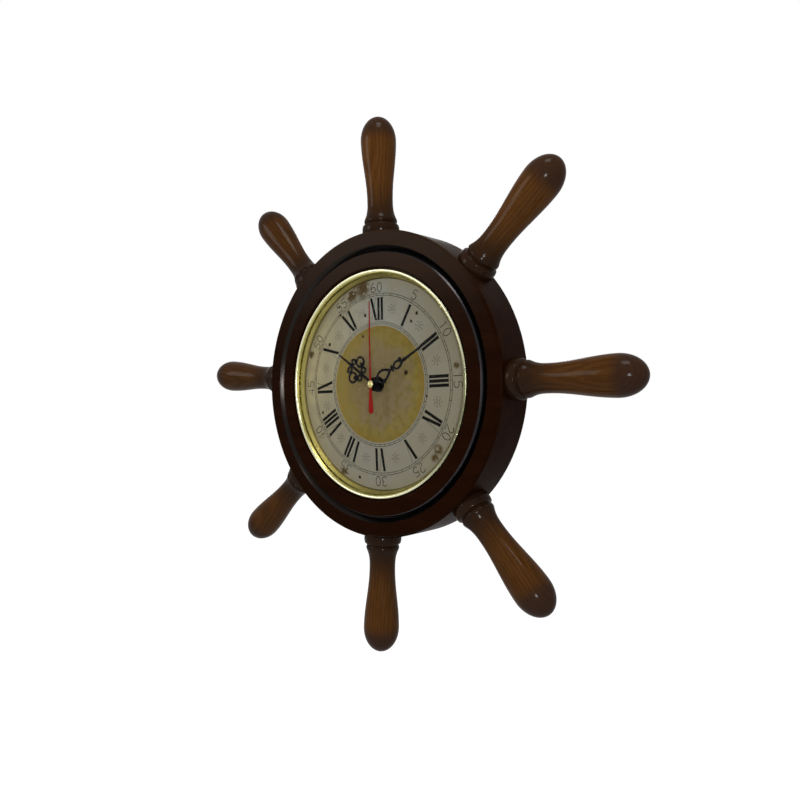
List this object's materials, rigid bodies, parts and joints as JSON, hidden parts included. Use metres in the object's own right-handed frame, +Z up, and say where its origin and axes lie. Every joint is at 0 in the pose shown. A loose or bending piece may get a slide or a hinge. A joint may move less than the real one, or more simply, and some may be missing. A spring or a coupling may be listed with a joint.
{
  "type": "wall clock",
  "caption": "Wall clock shaped like a ship's wheel: dark turned drum with radial handles, brass bezel with domed glass, Roman dial and a quartz movement that drives the hands.",
  "frame": {"origin": "on the clock axis, in the plane of the wall that the drum's back rests against", "axes": "+Y into the wall along the clock axis, front facing -Y; +X right as seen from the front; +Z up"},
  "size_m": [0.4497, 0.0475, 0.4495],
  "materials": {
    "drum_wood": "dark stained and lacquered",
    "handle_wood": "stained, glossy lacquer",
    "bezel_brass": "polished",
    "sight_gilt": "polished",
    "clear_glass": "clear",
    "dial_print": "matt print, aged",
    "board_wood": "bare board",
    "screw_brass": "plain",
    "nut_black": "black plated",
    "hanger_steel": "zinc plated",
    "case_plastic": "moulded",
    "gasket_rubber": "plain",
    "gear_plastic": "moulded",
    "magnet_plastic": "moulded",
    "knob_plastic": "moulded",
    "motor_steel": "stamped",
    "coil_copper": "enamelled copper wire",
    "board_green": "solder mask",
    "can_metal": "plain",
    "cell_jacket": "plain unprinted jacket",
    "contact_metal": "nickel plated",
    "hand_black": "gloss black",
    "hand_red": "satin red",
    "cap_brass": "polished"
  },
  "bodies": {
    "clock_case": {"case_ring": "drum_wood", "handle_right": "handle_wood", "handle_top_right": "handle_wood", "handle_top": "handle_wood", "handle_top_left": "handle_wood", "handle_left": "handle_wood", "handle_bottom_left": "handle_wood", "handle_bottom": "handle_wood", "handle_bottom_right": "handle_wood", "bezel_ring": "bezel_brass", "glass_lens": "clear_glass", "sight_ring": "sight_gilt", "dial_face": "dial_print", "dial_board": "board_wood", "dial_screws": "screw_brass", "hanger_plate": "hanger_steel", "hanger_screws": "hanger_steel", "movement_housing": "case_plastic", "movement_cover": "case_plastic", "threaded_bush": "nut_black", "bush_nut": "nut_black", "bush_washer": "nut_black", "rubber_gasket": "gasket_rubber", "stator": "motor_steel", "coil_core": "motor_steel", "coil_bobbin": "gear_plastic", "coil_winding": "coil_copper", "circuit_board": "board_green", "quartz_crystal": "can_metal", "contact_positive": "contact_metal", "contact_negative": "contact_metal"},
    "seconds_arbor": {"seconds_wheel": "gear_plastic", "seconds_hand": "hand_red", "seconds_cap": "cap_brass"},
    "minute_arbor": {"centre_wheel": "gear_plastic", "minute_hand": "hand_black"},
    "hour_pipe": {"hour_wheel": "gear_plastic", "hour_hand": "hand_black"},
    "third_arbor": {"third_wheel": "gear_plastic"},
    "intermediate_arbor": {"intermediate_wheel": "gear_plastic"},
    "rotor_arbor": {"rotor": "magnet_plastic"},
    "motion_arbor": {"minute_wheel": "gear_plastic"},
    "knob_arbor": {"setting_knob": "knob_plastic"},
    "cell": {"battery": "cell_jacket"}
  },
  "joints": [
    {"name": "seconds_spin", "type": "hinge", "parent": "clock_case", "child": "seconds_arbor", "pos_m": [0, -0.015, 0], "axis": [0, 1, 0], "continuous": true},
    {"name": "minute_spin", "type": "hinge", "parent": "clock_case", "child": "minute_arbor", "pos_m": [0, -0.015, 0], "axis": [0, 1, 0], "continuous": true},
    {"name": "hour_spin", "type": "hinge", "parent": "clock_case", "child": "hour_pipe", "pos_m": [0, -0.015, 0], "axis": [0, 1, 0], "continuous": true},
    {"name": "third_spin", "type": "hinge", "parent": "clock_case", "child": "third_arbor", "pos_m": [-0.01043, -0.015, 0.0028], "axis": [0, 1, 0], "continuous": true},
    {"name": "intermediate_spin", "type": "hinge", "parent": "clock_case", "child": "intermediate_arbor", "pos_m": [0.0028, -0.015, 0.01043], "axis": [0, 1, 0], "continuous": true},
    {"name": "rotor_spin", "type": "hinge", "parent": "clock_case", "child": "rotor_arbor", "pos_m": [0.01037, -0.015, 0.01481], "axis": [0, 1, 0], "continuous": true},
    {"name": "motion_spin", "type": "hinge", "parent": "clock_case", "child": "motion_arbor", "pos_m": [0.00985, -0.015, 0.00174], "axis": [0, 1, 0], "continuous": true},
    {"name": "knob_spin", "type": "hinge", "parent": "clock_case", "child": "knob_arbor", "pos_m": [0.01925, -0.015, 0.00516], "axis": [0, 1, 0], "continuous": true},
    {"name": "battery_slide", "type": "slide", "parent": "clock_case", "child": "cell", "axis": [0, 1, 0], "range_m": [0, 0.016]}
  ],
  "couplings": [
    {"joint": "hour_spin", "follows": "minute_spin", "ratio": 0.083333},
    {"joint": "seconds_spin", "follows": "minute_spin", "ratio": 60},
    {"joint": "third_spin", "follows": "minute_spin", "ratio": -8},
    {"joint": "intermediate_spin", "follows": "minute_spin", "ratio": -300},
    {"joint": "rotor_spin", "follows": "minute_spin", "ratio": 1800},
    {"joint": "motion_spin", "follows": "minute_spin", "ratio": -0.33333},
    {"joint": "knob_spin", "follows": "minute_spin", "ratio": 1}
  ]
}
